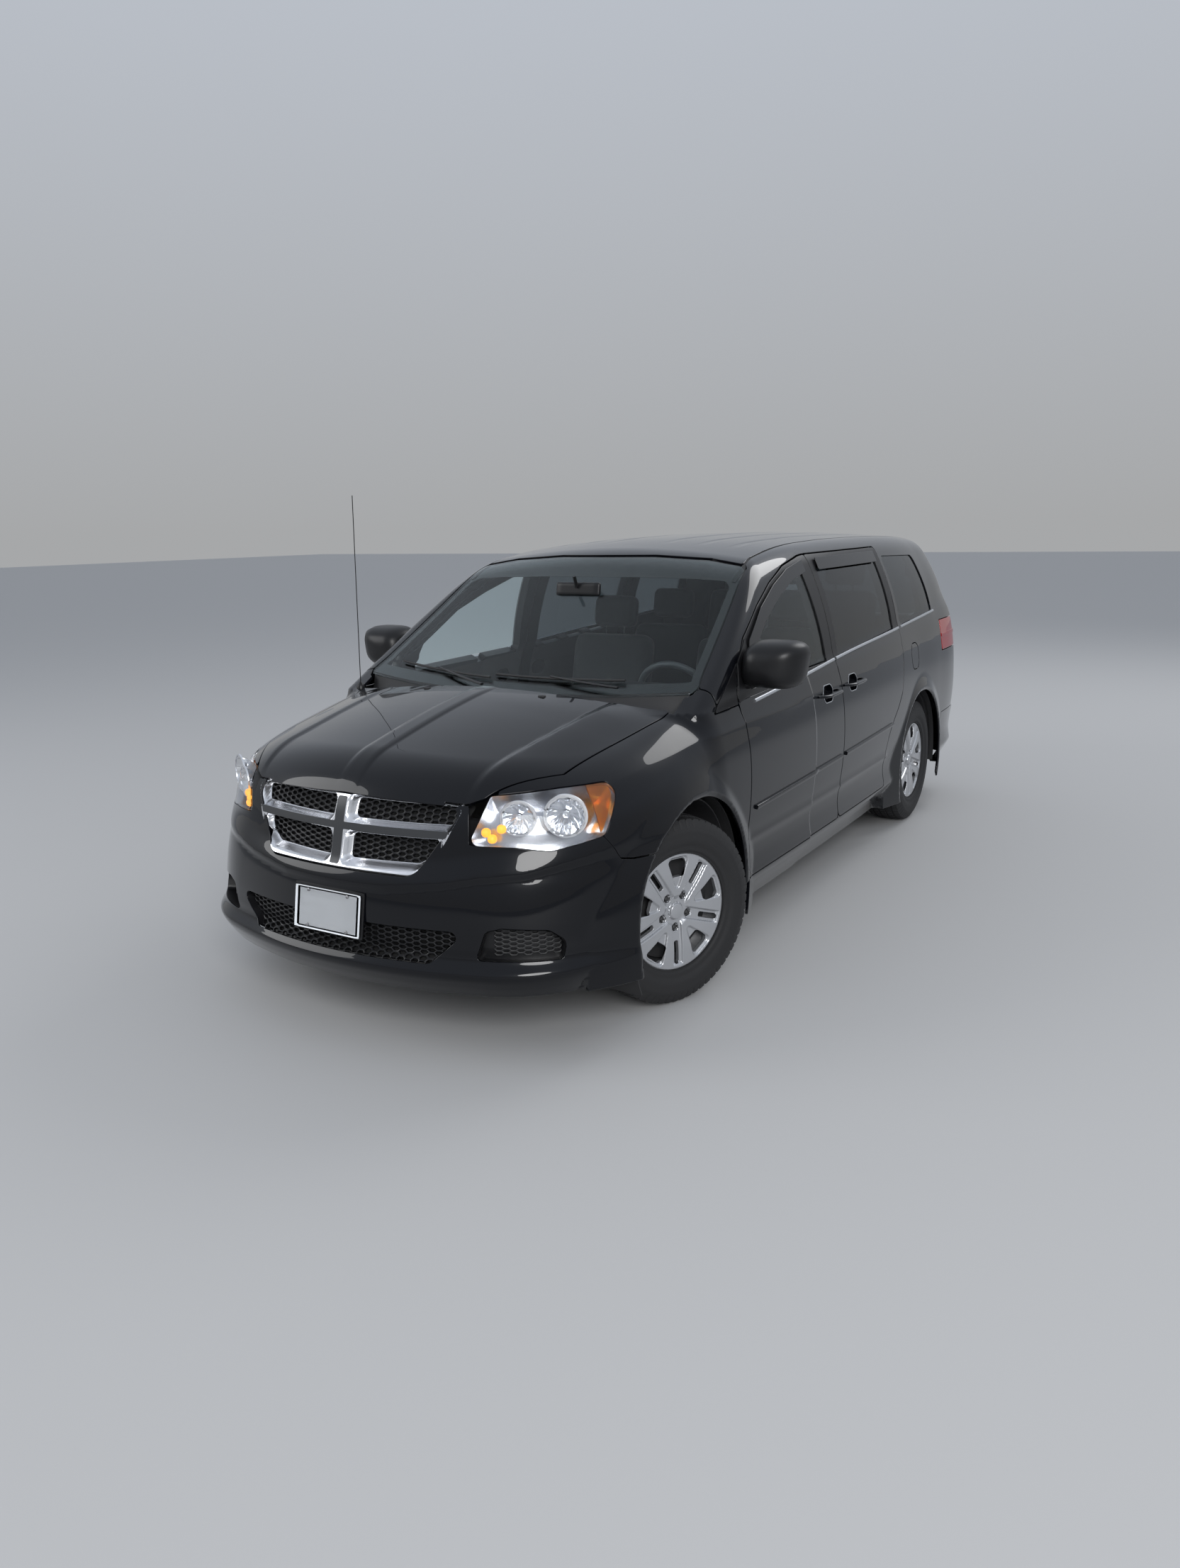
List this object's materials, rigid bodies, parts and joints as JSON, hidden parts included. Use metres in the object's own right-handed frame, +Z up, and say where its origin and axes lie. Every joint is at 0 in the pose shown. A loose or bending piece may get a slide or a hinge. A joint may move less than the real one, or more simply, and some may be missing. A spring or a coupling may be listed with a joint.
{
  "type": "minivan",
  "caption": "Minivan with hinged front doors, hood, tailgate and fuel door, steered front wheels and free-turning wheels.",
  "frame": {"origin": "on the ground under the middle of the van's length and width", "axes": "+Z up, the front faces -Y, +X is the driver's side (the van's left)"},
  "size_m": [2.2562, 5.1508, 1.8719],
  "materials": {
    "paint": "gloss",
    "structure": "satin",
    "glass": "gloss",
    "dark_glass": "gloss",
    "lamp_lens": "gloss",
    "lamp_bowl": "gloss",
    "red_lens": "gloss",
    "bright": "gloss",
    "black_plastic": "satin",
    "tyre": "matte",
    "wheel": "satin",
    "cast": "matte",
    "steel": "satin",
    "seat": "matte",
    "dash": "matte",
    "plate": "satin"
  },
  "bodies": {
    "root": {"underbody": "structure", "body_side_left": "paint", "body_side_right": "paint", "roof_panel": "paint", "fender_left": "paint", "fender_right": "paint", "front_bumper": "paint", "rear_bumper": "paint", "windscreen": "glass", "rear_side_glass": "dark_glass", "sliding_door_left": "paint", "sliding_door_right": "paint", "cowl": "black_plastic", "headlamps": "lamp_bowl", "headlamp_lenses": "lamp_lens", "grille_surround": "bright", "grille_mesh": "black_plastic", "tail_lamps": "red_lens", "engine_block": "cast", "front_subframe": "steel", "half_shafts": "steel", "rear_axle": "steel", "fuel_tank": "black_plastic", "exhaust": "steel", "dashboard": "dash", "front_seats": "seat", "rear_seats": "seat", "front_plate": "plate", "antenna": "black_plastic"},
    "front_door_left": {"front_door_left": "paint", "door_glass_left": "glass", "mirror_left": "black_plastic"},
    "front_door_right": {"front_door_right": "paint", "door_glass_right": "glass", "mirror_right": "black_plastic"},
    "hood": {"hood": "paint"},
    "tailgate": {"tailgate": "paint", "tailgate_glass": "dark_glass"},
    "fuel_door": {"fuel_door": "paint"},
    "steering_wheel": {"steering_wheel": "dash"},
    "knuckle_left": {"knuckle_left": "cast"},
    "knuckle_right": {"knuckle_right": "cast"},
    "wheel_front_left": {"tyre_front_left": "tyre", "wheel_front_left": "wheel"},
    "wheel_front_right": {"tyre_front_right": "tyre", "wheel_front_right": "wheel"},
    "wheel_rear_left": {"tyre_rear_left": "tyre", "wheel_rear_left": "wheel"},
    "wheel_rear_right": {"tyre_rear_right": "tyre", "wheel_rear_right": "wheel"}
  },
  "joints": [
    {"name": "front_door_left_swing", "type": "hinge", "parent": "root", "child": "front_door_left", "pos_m": [0.945, -1.0705, 0.66], "axis": [0, 0, -1], "range_deg": [0, 66]},
    {"name": "front_door_right_swing", "type": "hinge", "parent": "root", "child": "front_door_right", "pos_m": [-0.945, -1.0705, 0.66], "axis": [0, 0, 1], "range_deg": [0, 66]},
    {"name": "hood_lift", "type": "hinge", "parent": "root", "child": "hood", "pos_m": [0, -1.4405, 1.052], "axis": [-1, 0, 0], "range_deg": [0, 45]},
    {"name": "tailgate_lift", "type": "hinge", "parent": "root", "child": "tailgate", "pos_m": [0, 2.3095, 1.588], "axis": [1, 0, 0], "range_deg": [0, 85]},
    {"name": "fuel_door_swing", "type": "hinge", "parent": "root", "child": "fuel_door", "pos_m": [0.949, 1.2725, 0.995], "axis": [0, 0, -1], "range_deg": [0, 90]},
    {"name": "steer_left", "type": "hinge", "parent": "root", "child": "knuckle_left", "pos_m": [0.775, -1.6105, 0.362], "axis": [0, 0, 1], "range_deg": [-12, 56]},
    {"name": "steer_right", "type": "hinge", "parent": "root", "child": "knuckle_right", "pos_m": [-0.775, -1.6105, 0.362], "axis": [0, 0, 1], "range_deg": [-12, 56]},
    {"name": "steering_wheel_turn", "type": "hinge", "parent": "root", "child": "steering_wheel", "pos_m": [0.375, -0.6005, 0.985], "axis": [0, 0.9, 0.436], "range_deg": [-180, 840]},
    {"name": "spin_front_left", "type": "hinge", "parent": "knuckle_left", "child": "wheel_front_left", "pos_m": [0.82878, -1.63223, 0.362], "axis": [0.9272, -0.3746, 0], "continuous": true},
    {"name": "spin_rear_left", "type": "hinge", "parent": "root", "child": "wheel_rear_left", "pos_m": [0.823, 1.4675, 0.362], "axis": [1, 0, 0], "continuous": true},
    {"name": "spin_front_right", "type": "hinge", "parent": "knuckle_right", "child": "wheel_front_right", "pos_m": [-0.82878, -1.58877, 0.362], "axis": [0.9272, -0.3746, 0], "continuous": true},
    {"name": "spin_rear_right", "type": "hinge", "parent": "root", "child": "wheel_rear_right", "pos_m": [-0.823, 1.4675, 0.362], "axis": [1, 0, 0], "continuous": true}
  ],
  "couplings": [
    {"joint": "steer_right", "follows": "steer_left", "ratio": 1},
    {"joint": "steering_wheel_turn", "follows": "steer_left", "ratio": 15}
  ]
}
